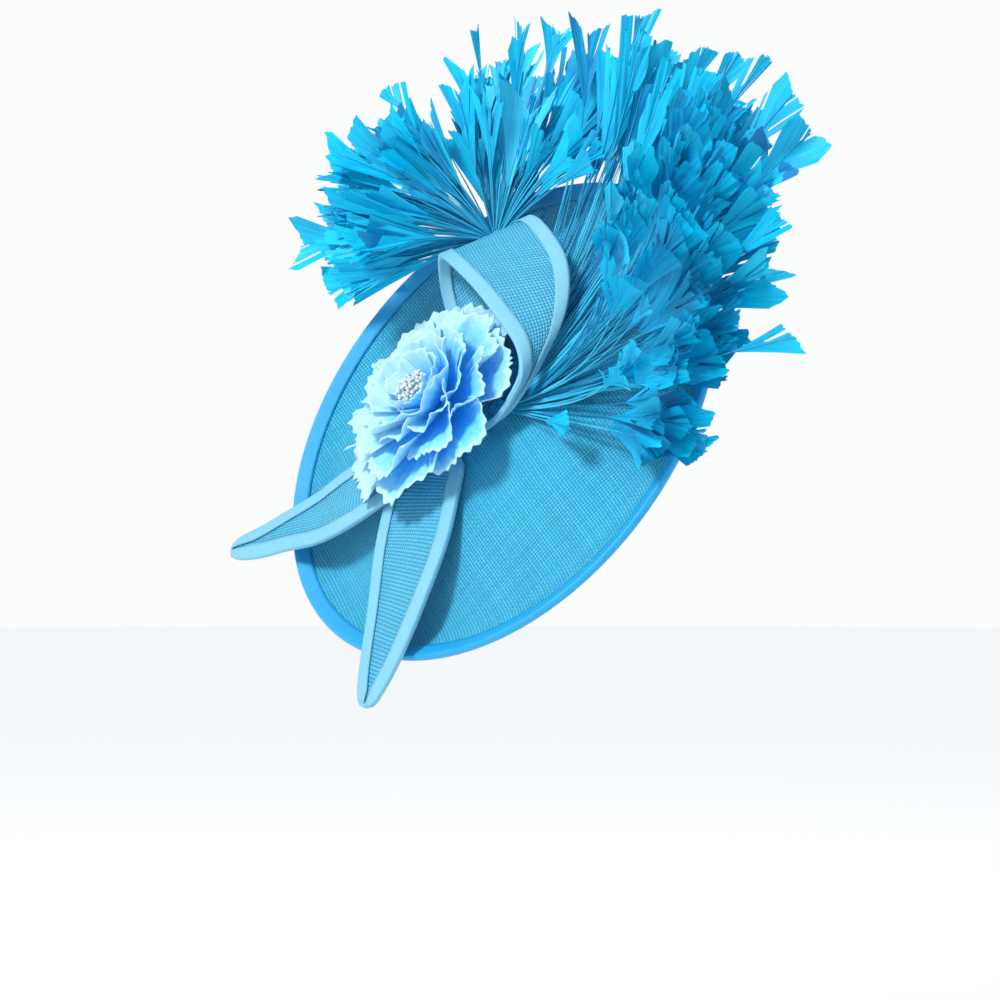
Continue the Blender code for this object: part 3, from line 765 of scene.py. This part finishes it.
def make_stamens(settings):
    """Threads that rise from the heart on even spirals, each ended by a bead."""
    count = settings.stamens
    index = np.arange(count)
    rng = np.random.default_rng(STAMEN_SEED)
    spread = STAMEN_SPREAD * np.sqrt((index + 0.5) / count)
    angle = index * GOLDEN_ANGLE
    lift = (STAMEN_HEIGHT * (1.0 - 0.2 * (spread / STAMEN_SPREAD) ** 2) - BEAD_RADII[1] + 0.1
            + rng.uniform(-1.5, 1.0, count))
    share = np.linspace(0.0, 1.0, 5)[None, :]
    out = spread[:, None] * share ** 1.3
    paths = np.stack([out * np.cos(angle[:, None]), out * np.sin(angle[:, None]),
                      0.6 + (lift[:, None] - 0.6) * share], axis=-1)
    paths = paths + np.array(STAMEN_SHIFT) * share[..., None]
    level = FLOWER_BASE + (len(PETAL_ROWS) - 1) * PETAL_LAYER + 0.8
    threads, thread_faces = tubes(paths, THREAD_RADIUS + 0 * paths[..., 0], 3)
    beads, bead_faces = bead_batch(paths[:, -1], rng.uniform(*BEAD_RADII, count))
    points = on_flower(np.vstack([threads.reshape(-1, 3), beads.reshape(-1, 3)]), level)
    quads = np.vstack([thread_faces, bead_faces + threads.size // 3])
    pearl = plain_dyed_material("stamen_pearl", settings.stamen_colour,
                                [0.6 * c for c in settings.stamen_colour], 0.3, 900, 0.1, 0.2, 0.3)
    add_piece(make_mesh("stamens", points, quads), pearl, ("stamen_cluster",))


def spray_plan(rows, reaches, count, clear, lengths, deep_tone, rng):
    """Random feathers of a spray, a column of the plan each: azimuth, elevation, reach, bend,
    vane length, spread of the barbs, slope of the cut, roll and tone, in degrees and
    millimetres. A feather's vane starts past the clear distance at its azimuth and elevation.
    The shorter a feather, the deeper in the spray it lies and the darker it is, by painted shade,
    and the low side of a spray gets painted shade too."""
    table = np.array(rows, dtype=float)
    table = table[rng.choice(len(rows), count, p=table[:, 3])]
    azimuth = table[:, 1] + (table[:, 2] - table[:, 1]) * rng.uniform(0.0, 1.0, count) ** table[:, 5]
    elevation = table[:, 0] + rng.uniform(*ELEVATION_SCATTER, count)
    longest = 0.97 * table[:, 4] * follow(reaches, azimuth)
    length = rng.uniform(*lengths, count)
    start = clear(azimuth, elevation)
    least = np.minimum(start + length, longest)
    crowding = follow(END_CROWDING_ROWS, elevation)
    reach = least + (longest - least) * rng.uniform(0.0, 1.0, count) ** crowding
    length = np.clip(length, LEAST_VANE, np.maximum(reach - start, LEAST_VANE + 2))
    cut = rng.choice(CUT_SLOPES, count, p=CUT_SHARES)
    roll = np.clip(rng.normal(0.0, ROLL_SWING, count), -ROLL_LIMIT, ROLL_LIMIT)
    # painted shade: short feathers deep in the spray and the low side of a spray get a lower tone
    low_side_shade = np.clip(-azimuth / 75.0, 0.0, 1.0)
    tone = (deep_tone + OUTER_TONE_RISE * (reach / longest) ** 2.5 - LOW_SIDE_PAINTED_SHADE * low_side_shade
            + rng.normal(0.0, TONE_SWING, count))
    return np.stack([azimuth, elevation, reach, rng.normal(0.0, 0.03, count), length,
                     rng.uniform(*BARB_SPREADS, count), cut, roll, tone])


def single_plan(root, rows, droop):
    """Feathers that stand clear of a spray, from the places of their tips, as the same plan."""
    table = np.array(rows, dtype=float)
    away = table[:, :3] - np.array(root) - GROUND * droop
    run = np.hypot(away[:, 0], away[:, 1])
    return np.stack([np.degrees(np.arctan2(away[:, 1], away[:, 0])),
                     np.degrees(np.arctan2(away[:, 2], run)),
                     np.hypot(run, away[:, 2]), 0 * run, *table[:, 3:].T, SINGLE_TONE + 0 * run])


def feather_lines(root, plan, lift_power, droop):
    """Middle lines of feathers: level with the rim they go out in a straight line, they lift
    with a power of their length, and droop and bend sideways with its square."""
    azimuth, elevation = np.radians(plan[0]), np.radians(plan[1])
    reach, bend = plan[2][:, None, None], plan[3][:, None, None]
    share = np.linspace(0.0, 1.0, 10)[None, :, None]
    level = np.stack([np.cos(azimuth), np.sin(azimuth), 0 * azimuth], axis=-1)[:, None]
    side = np.stack([-np.sin(azimuth), np.cos(azimuth), 0 * azimuth], axis=-1)
    rise, run = np.sin(elevation)[:, None, None], np.cos(elevation)[:, None, None]
    return (np.array(root) + GROUND * droop * share ** 2
            + reach * (level * run * share + side[:, None] * bend * share ** 2
                       + [0.0, 0.0, 1.0] * rise * share ** lift_power))


def vane_batch(lines, plan, rng):
    """Trimmed vanes. A barb leaves the shaft at a small angle, flares a little and ends where a
    trimming cut meets it, or at its own length; the cut is a line across the feather's end that
    slants or is notched. On each side of the shaft the barbs lie edge to edge as one web, which
    splits between clumps. A vane turns its flat side to the facing way, but for its roll."""
    reach, _, length, spread, cut_slope, roll, shade = plan[2:, :, None]
    count = len(lines)
    place = np.linspace(0.0, 0.97, BARBS)
    steps = (1.0 - length / reach * (1.0 - place)) * (lines.shape[1] - 1)
    low = np.clip(steps.astype(int), 0, lines.shape[1] - 2)
    mixed = (steps - low)[..., None]
    rows = np.arange(count)[:, None]
    base = lines[rows, low] * (1 - mixed) + lines[rows, low + 1] * mixed
    forward = unit(lines[rows, low + 1] - lines[rows, low])
    turned = np.radians(roll)[..., None]
    level = unit(np.cross(FACING, forward))
    upright = np.cross(forward, level)
    flat = level * np.cos(turned) + upright * np.sin(turned)
    normal = upright * np.cos(turned) - level * np.sin(turned)

    # every array from here on is feather, side of the shaft, barb, point along the barb
    hand = np.array([-1.0, 1.0])[None, :, None]
    clump = np.floor(place * rng.uniform(0.2, 1.9, (count, 2, 1))
                     + rng.uniform(0, 1, (count, 2, 1))).astype(int)
    swing = np.take_along_axis(rng.normal(0.0, 0.04, (count, 2, 3)), clump, axis=2)
    lift = np.take_along_axis(rng.normal(0.0, 1.1, (count, 2, 3)), clump, axis=2)
    angle = np.radians(spread)[..., None] * (1 - 0.35 * place) + swing
    slope = np.clip(cut_slope[..., None] + hand * rng.normal(0.0, 0.35, (count, 1, 1)), -1.2, 0.8)
    free = length[..., None] * (1.0 - place)
    cut = free / np.maximum(np.cos(angle) - slope * np.sin(angle), 0.5)
    barb = (np.minimum(cut, rng.uniform(*BARB_LENGTHS, (count, 1, 1)))
            + rng.uniform(0.2, 1.9, (count, 2, BARBS)))

    share = np.array([0.0, 0.3, 0.65, 1.0])
    out = (barb * np.sin(angle))[..., None] * share * (0.85 + 0.15 * share)
    on = (barb * np.cos(angle))[..., None] * share
    cup = rng.normal(0.02, 0.02, (count, 1, 1, 1)) * out ** 2 + lift[..., None] * share ** 2
    base, flat, forward, normal = (
        directions[:, None, :, None] for directions in (base, flat, forward, normal))
    points = (base + flat * (out * hand[..., None])[..., None]
              + forward * on[..., None] + normal * cup[..., None])
    quads = grid_faces(count * 2, BARBS, 4).reshape(count, 2, BARBS - 1, 3, 4)
    split = (clump[..., 1:] != clump[..., :-1])[..., None] & (share[1:] > 0.5)
    across = place * length[..., None] * np.sin(angle) + rng.uniform(0, 400, (count, 2, 1))
    uv = np.stack(np.broadcast_arrays(across[..., None], barb[..., None] * share), axis=-1)
    # painted shade: barbs are darker towards the shaft and lighter at their ends
    tone = shade[..., None, None] - 0.05 + 0.2 * share + 0 * out
    return points.reshape(-1, 3), quads[~split], uv.reshape(-1, 2), tone.ravel()


def make_spray(name, node_name, root, plan, curve, quill, material, rng):
    """One spray in one mesh: quills as thin tubes, whose tone marks them as bare, and vanes."""
    lines = feather_lines(root, plan, *curve)
    share = np.linspace(0.0, 1.0, lines.shape[1])[None, :, None]
    tube, tube_faces = tubes(lines, quill * (1 - 0.5 * share[..., 0]) + 0 * lines[..., 0], 3)
    distance = share * plan[2][:, None, None] + 0 * tube[..., 0]
    tube_uv = np.stack([np.arange(3) * 2.0 + 0 * distance, distance], axis=-1)
    vanes, vane_faces, vane_uv, vane_tone = vane_batch(lines, plan, rng)
    points = np.vstack([tube.reshape(-1, 3), vanes])
    quads = np.vstack([tube_faces, vane_faces + tube.size // 3])
    uv = np.vstack([tube_uv.reshape(-1, 2), vane_uv])
    bare_tone = rng.uniform(*BARE_QUILL_TONES, (len(lines), 1, 1)) + 0 * distance
    tone = np.concatenate([bare_tone.ravel(), vane_tone])
    add_piece(make_mesh(name, points, quads, uv=uv, tone=tone), material, (node_name,))


def root_knot(root, radius):
    """Bound root: a short barrel whose radius ripples where the thread goes round."""
    height = np.linspace(-ROOT_HALF_HEIGHT, ROOT_HALF_HEIGHT, 41)
    ripple = radius - 0.35 + 0.3 * np.abs(np.sin(height * 2.6))
    ripple[[0, -1]] = 0.05
    return turned_surface(np.stack([ripple, height], axis=1), full_turn(24)) + np.array(root)


def make_feathers(settings):
    """Both sprays, the bound knots at their roots and the stem of quills between them."""
    feather = feather_material("dyed_feather", settings.feather_colour, settings.feather_deep_colour,
                               settings.quill_colour)
    thread = plain_dyed_material("binding_thread", settings.feather_colour,
                                 settings.feather_deep_colour, 0.5, 700, 0.2, 0.2)

    def past_the_loop(azimuth, elevation):
        over = np.clip(elevation - LOOP_CLEAR_ELEVATION, 0, None)
        return follow(LOOP_CLEAR_ROWS, azimuth) + LOOP_CLEAR_RISE * over

    def past_the_knot(azimuth, elevation):
        return KNOT_CLEAR + 0 * azimuth

    sprays = (
        ("main", MAIN_ROOT, MAIN_CURVE, MAIN_SINGLE_ROWS, MAIN_SEED,
         (MAIN_LAYER_ROWS, MAIN_REACH_ROWS, settings.main_feathers, past_the_loop, MAIN_VANES,
          MAIN_DEEP_TONE)),
        ("side", SIDE_ROOT, SIDE_CURVE, SIDE_SINGLE_ROWS, SIDE_SEED,
         (SIDE_LAYER_ROWS, SIDE_REACH_ROWS, settings.side_feathers, past_the_knot, SIDE_VANES,
          SIDE_DEEP_TONE)))
    for side, root, curve, singles, seed, shape in sprays:
        rng = np.random.default_rng(seed)
        plan = np.hstack([spray_plan(*shape, rng), single_plan(root, singles, curve[1])])
        make_spray(side + "_feathers", "feather_plume_" + side, root, plan, curve,
                   settings.quill_radius / MM, feather, rng)
    for name, root, radius in (("main_root_thread", MAIN_ROOT, MAIN_ROOT_RADIUS),
                               ("side_root_thread", SIDE_ROOT, SIDE_ROOT_RADIUS)):
        mesh = grid_mesh(name, root_knot(root, radius), around=True)
        add_piece(mesh, thread)
    make_stem(settings, feather)


def make_stem(settings, feather):
    """Quills of the side spray that run in a flat bundle over the saucer to its root."""
    middle = smooth_rows(STEM_ROWS, 5)
    forward = unit(np.gradient(middle, axis=0))
    side = unit(np.cross([0.0, 0.0, 1.0], forward))
    up = np.cross(forward, side)
    # four quills side by side in three layers
    offsets = np.array([(x, y) for y in (-1.0, 0.0, 1.0) for x in (-1.3, -0.45, 0.45, 1.3)])
    paths = middle[None] + side[None] * offsets[:, 0, None, None] + up[None] * offsets[:, 1, None, None]
    points, quads = tubes(paths, STEM_QUILL_RADIUS + 0 * paths[..., 0], 6)
    same = 0 * points[..., 0]
    uv = np.stack([np.arange(6) * 0.8 + same, arc_lengths(middle)[None, :, None] + same], axis=-1)
    mesh = make_mesh("stem_quills", points, quads, uv=uv, tone=BARE_QUILL_TONES[1] + same)
    add_piece(mesh, feather, ("feather_stem",))


def make_comb(settings):
    """Moulded comb: each tooth is an oval section that shrinks towards a round tip, and the
    spine is an oval bar, all on the comb's own leaning plane."""
    half = COMB_WIDTH / 2
    around = full_turn(12)
    inset = half - COMB_END_INSET
    centres = np.linspace(-inset, inset, COMB_TEETH)[:, None, None]
    down = np.linspace(0.0, 1.0, 14)[None, :, None]
    taper = np.sqrt(np.clip(1.0 - down ** 5, 0.0, 1.0)) * (1.0 - 0.25 * down)
    teeth = np.stack(np.broadcast_arrays(
        centres + TOOTH_HALF_WIDTH * taper * np.cos(around),
        TOOTH_OVERLAP - (TOOTH_LENGTH + TOOTH_OVERLAP) * down + 0 * around,
        0.45 * COMB_THICKNESS * taper * np.sin(around)), axis=-1)
    run = np.linspace(-1.0, 1.0, 41)[:, None]
    ends = np.sqrt(np.clip(1.0 - run ** 10, 0.0, 1.0))
    loop = full_turn(16)
    spine = np.stack(np.broadcast_arrays(
        half * run + 0 * loop,
        COMB_SPINE / 2 + COMB_SPINE / 2 * ends * np.cos(loop),
        COMB_THICKNESS / 2 * ends * np.sin(loop)), axis=-1)
    points = np.vstack([teeth.reshape(-1, 3), spine.reshape(-1, 3)])
    quads = np.vstack([grid_faces(COMB_TEETH, 14, 12, around=True),
                       grid_faces(1, 41, 16, around=True) + teeth.size // 3])
    lean = np.array(Matrix.Rotation(COMB_LEAN, 3, "X"))
    mesh = make_mesh("clear_comb", points @ lean.T + np.array(COMB_PLACE), quads)
    merge_and_face_out(mesh)
    clear = plain_dyed_material("moulded_comb", settings.comb_colour,
                                [0.8 * c for c in settings.comb_colour], 0.18, 60, 0.05, 0.0, 0.6)
    add_piece(mesh, clear, ("hair_comb",))


# settings

def tint(label, about, default):
    return FloatVectorProperty(name=label, description=about, subtype="COLOR", size=3, default=default,
                               min=0.0, max=1.0)


def size(label, about, default):
    return FloatProperty(name=label, description=about, default=default, min=0.0, unit="LENGTH",
                         subtype="DISTANCE")


def number(label, about, default, most):
    return IntProperty(name=label, description=about, default=default, min=1, max=most)


def power(label, about, default):
    return FloatProperty(name=label, description=about, default=default, min=0.0, unit="POWER")


class FascinatorStraw(bpy.types.PropertyGroup):
    straw_colour: tint("Straw", "Colour of the woven straw", (0.06, 0.57, 0.77))
    # the gap colours are painted shade between the threads
    straw_gap_shade_colour: tint("Straw gaps", "Colour between the straw's threads", (0.01, 0.24, 0.50))
    rim_colour: tint("Rim", "Colour of the satin rim binding", (0.01, 0.41, 0.76))
    rim_shadow_colour: tint("Rim shade", "Colour in the folds of the rim binding", (0.01, 0.22, 0.58))


class FascinatorBands(bpy.types.PropertyGroup):
    binding_width: size("Binding width", "Width of the bias strip on the loop and tails", 0.008)
    cloth_colour: tint("Cloth", "Colour of the loop's woven cloth", (0.12, 0.56, 0.76))
    # painted shade between the cloth's threads
    cloth_gap_shade_colour: tint("Cloth gaps", "Colour between the cloth's threads", (0.01, 0.24, 0.46))
    strip_colour: tint("Bias strip", "Colour of the pale bias strips", (0.25, 0.60, 0.74))
    # painted shade between the strip's threads
    strip_gap_shade_colour: tint("Bias strip shade", "Colour between the strip's threads", (0.10, 0.42, 0.68))


class FascinatorFlower(bpy.types.PropertyGroup):
    stamens: number("Stamens", "Number of stamens", 84, 400)
    throat_colour: tint("Petal throat", "Colour at a petal's foot", (0.01, 0.50, 1.0))
    petal_rim_colour: tint("Petal rim", "Colour at a petal's end", (0.44, 0.74, 0.88))
    stamen_colour: tint("Stamen beads", "Colour of the beads", (0.86, 0.94, 0.95))
    calyx_colour: tint("Calyx", "Colour of the wrapped calyx", (0.03, 0.38, 0.79))


class FascinatorFeathers(bpy.types.PropertyGroup):
    main_feathers: number("Main feathers", "Feathers in the main spray", 215, 900)
    side_feathers: number("Side feathers", "Feathers in the side spray", 190, 900)
    quill_radius: size("Quill radius", "Radius of a quill at its root", 0.00062)
    quill_colour: tint("Quill", "Colour of the bare quills", (0.06, 0.64, 0.90))
    feather_colour: tint("Feather", "Colour of the lightest barbs", (0.0, 0.61, 0.90))
    # the deep colour is the dark end of the feathers' painted shade, and of the thread's grain
    feather_deep_colour: tint("Feather depth", "Colour of the deepest barbs", (0.0, 0.22, 0.52))


class FascinatorComb(bpy.types.PropertyGroup):
    comb_colour: tint("Comb", "Colour of the moulded comb", (0.60, 0.68, 0.72))


class FascinatorStage(bpy.types.PropertyGroup):
    floor_drop: size("Floor drop", "Height of the hat's origin over the floor", 0.42)
    floor_colour: tint("Floor", "Colour of the floor", (0.94, 0.95, 0.96))
    floor_glow: FloatProperty(name="Floor glow", description="Even light that the floor gives back",
                              default=0.70, min=0.0, max=1.0)
    key_power: power("Key light", "Power of the key light", 40.0)
    fill_power: power("Fill light", "Power of the fill and back lights", 3.0)


SETTINGS = {"fascinator_straw": FascinatorStraw, "fascinator_bands": FascinatorBands,
            "fascinator_flower": FascinatorFlower, "fascinator_feathers": FascinatorFeathers,
            "fascinator_comb": FascinatorComb, "fascinator_stage": FascinatorStage}
GROUPS = {}


class FASCINATOR_OT_effects(bpy.types.Operator):
    """Make the shared weave and streak node groups"""
    bl_idname = "fascinator.effects"
    bl_label = "Make shared effects"

    def execute(self, context):
        GROUPS["weave"] = weave_group()
        GROUPS["streak"] = streak_group()
        return {"FINISHED"}


class FASCINATOR_OT_saucer(bpy.types.Operator):
    """Make the woven straw saucer and its rim binding"""
    bl_idname = "fascinator.saucer"
    bl_label = "Make saucer"

    def execute(self, context):
        settings = context.scene.fascinator_straw
        make_rim_binding(settings, make_saucer(settings))
        return {"FINISHED"}


class FASCINATOR_OT_bands(bpy.types.Operator):
    """Make the folded loop, the two tails and their bias strips"""
    bl_idname = "fascinator.bands"
    bl_label = "Make loop and tails"

    def execute(self, context):
        settings = context.scene.fascinator_bands
        cloth = woven_material("open_weave_cloth", settings.cloth_colour, settings.cloth_gap_shade_colour,
                               CLOTH_PITCH, 0.7, 1.0, 0.5, slub=0.6, sheen=0.15, turn=0.2)
        strip = woven_material("bias_strip", settings.strip_colour, settings.strip_gap_shade_colour,
                               STRIP_PITCH, 0.2, 0.45, 0.45, slub=0.3, sheen=0.3, turn=BIAS_TURN)
        make_loop(settings, cloth, strip)
        make_tail("left_tail", "tail_left", TAIL_LEFT_ROWS, settings, cloth, strip)
        make_tail("lower_tail", "tail_lower", TAIL_LOWER_ROWS, settings, cloth, strip)
        return {"FINISHED"}


class FASCINATOR_OT_flower(bpy.types.Operator):
    """Make the petals and stamens, and dress the calyx"""
    bl_idname = "fascinator.flower"
    bl_label = "Make flower"

    def execute(self, context):
        settings = context.scene.fascinator_flower
        make_petals(settings)
        make_stamens(settings)
        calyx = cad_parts["flower_calyx"]
        calyx.data.materials.clear()
        calyx.data.materials.append(plain_dyed_material(
            "wrapped_calyx", settings.calyx_colour, [0.5 * c for c in settings.calyx_colour],
            0.6, 500, 0.3, 0.3))
        return {"FINISHED"}


class FASCINATOR_OT_feathers(bpy.types.Operator):
    """Make both sprays of trimmed feathers and the bound quills between them"""
    bl_idname = "fascinator.feathers"
    bl_label = "Make feathers"

    def execute(self, context):
        make_feathers(context.scene.fascinator_feathers)
        return {"FINISHED"}


class FASCINATOR_OT_comb(bpy.types.Operator):
    """Make the moulded hair comb under the crown"""
    bl_idname = "fascinator.comb"
    bl_label = "Make comb"

    def execute(self, context):
        make_comb(context.scene.fascinator_comb)
        return {"FINISHED"}


class FASCINATOR_OT_stage(bpy.types.Operator):
    """Make the floor, the soft lights and the camera"""
    bl_idname = "fascinator.stage"
    bl_label = "Make stage"

    def execute(self, context):
        make_stage(context.scene, context.scene.fascinator_stage)
        return {"FINISHED"}


def add_light(scene, name, place, extent, energy, tint_values):
    """Round soft light at a place, turned to the hat."""
    lamp = bpy.data.lights.new(name, "AREA")
    lamp.shape = "DISK"
    lamp.size = extent
    lamp.energy = energy
    lamp.color = tint_values
    holder = bpy.data.objects.new(name, lamp)
    holder.location = place
    holder.rotation_euler = (Vector(LIGHTS_TARGET) - Vector(place)).to_track_quat("-Z", "Y").to_euler()
    scene.collection.objects.link(holder)


def make_stage(scene, settings):
    """A pale floor disc, a pale surround, a key light from the upper left, weak lights from the
    right and behind, and the camera at the photo's angle."""
    profile = np.array([(radius, -settings.floor_drop) for radius in FLOOR_RADII])
    points = turned_surface(profile, full_turn(96))
    mesh = grid_mesh("floor", (points / MM) @ WORN, around=True)
    merge_and_face_out(mesh, outwards=False)
    mesh.flip_normals()
    floor = bpy.data.objects.new("floor", mesh)
    scene.collection.objects.link(floor)
    pale, tree, shader = new_material("pale_floor", 0.85)
    feed(tree, shader, {"Base Color": colour(settings.floor_colour, 0.5),
                        "Emission Color": colour(settings.floor_colour),
                        "Emission Strength": settings.floor_glow})
    mesh.materials.append(pale)

    world = bpy.data.worlds.new("pale_surround")
    scene.world = world
    world.use_nodes = True
    tree = world.node_tree
    seen = tree.nodes["Background"]
    feed(tree, seen, {"Color": SURROUND_SEEN_COLOUR})
    lit = node(tree, "Background", {"Color": SURROUND_LIGHT_COLOUR,
                                    "Strength": SURROUND_LIGHT_STRENGTH})
    to_camera = node(tree, "LightPath").outputs["Is Camera Ray"]
    choice = node(tree, "MixShader", {0: to_camera, 1: lit.outputs[0], 2: seen.outputs[0]})
    feed(tree, tree.nodes["World Output"], {0: choice.outputs[0]})

    for name, place, extent, setting, tint_values in LIGHT_ROWS:
        add_light(scene, name, place, extent, getattr(settings, setting), tint_values)

    lens = bpy.data.cameras.new("camera")
    lens.sensor_width = 36.0
    lens.lens = CAMERA_LENS
    camera = bpy.data.objects.new("camera", lens)
    camera.location = CAMERA_PLACE
    camera.rotation_euler = (math.pi / 2, 0.0, 0.0)
    scene.collection.objects.link(camera)
    scene.camera = camera
    scene.view_settings.view_transform = "Standard"


class FASCINATOR_PT_panel(bpy.types.Panel):
    """Sizes, colours and steps of the fascinator"""
    bl_idname = "FASCINATOR_PT_panel"
    bl_label = "Feather fascinator"
    bl_space_type = "VIEW_3D"
    bl_region_type = "UI"
    bl_category = "Fascinator"

    def draw(self, context):
        layout = self.layout
        for label, group in SETTINGS.items():
            box = layout.box()
            values = getattr(context.scene, label)
            for field in group.__annotations__:
                box.prop(values, field)
        for step in STEPS:
            layout.operator(step.bl_idname)


STEPS = (FASCINATOR_OT_effects, FASCINATOR_OT_saucer, FASCINATOR_OT_bands, FASCINATOR_OT_flower,
         FASCINATOR_OT_feathers, FASCINATOR_OT_comb, FASCINATOR_OT_stage)


def register():
    for group in (*SETTINGS.values(), *STEPS, FASCINATOR_PT_panel):
        bpy.utils.register_class(group)
    for label, group in SETTINGS.items():
        setattr(bpy.types.Scene, label, PointerProperty(type=group))


def unregister():
    for label in SETTINGS:
        delattr(bpy.types.Scene, label)
    for group in (FASCINATOR_PT_panel, *reversed(STEPS), *SETTINGS.values()):
        bpy.utils.unregister_class(group)


def main():
    register()
    bpy.ops.fascinator.effects()
    bpy.ops.fascinator.saucer()
    bpy.ops.fascinator.bands()
    bpy.ops.fascinator.flower()
    bpy.ops.fascinator.feathers()
    bpy.ops.fascinator.comb()
    bpy.ops.fascinator.stage()


if __name__ == "__main__":
    main()
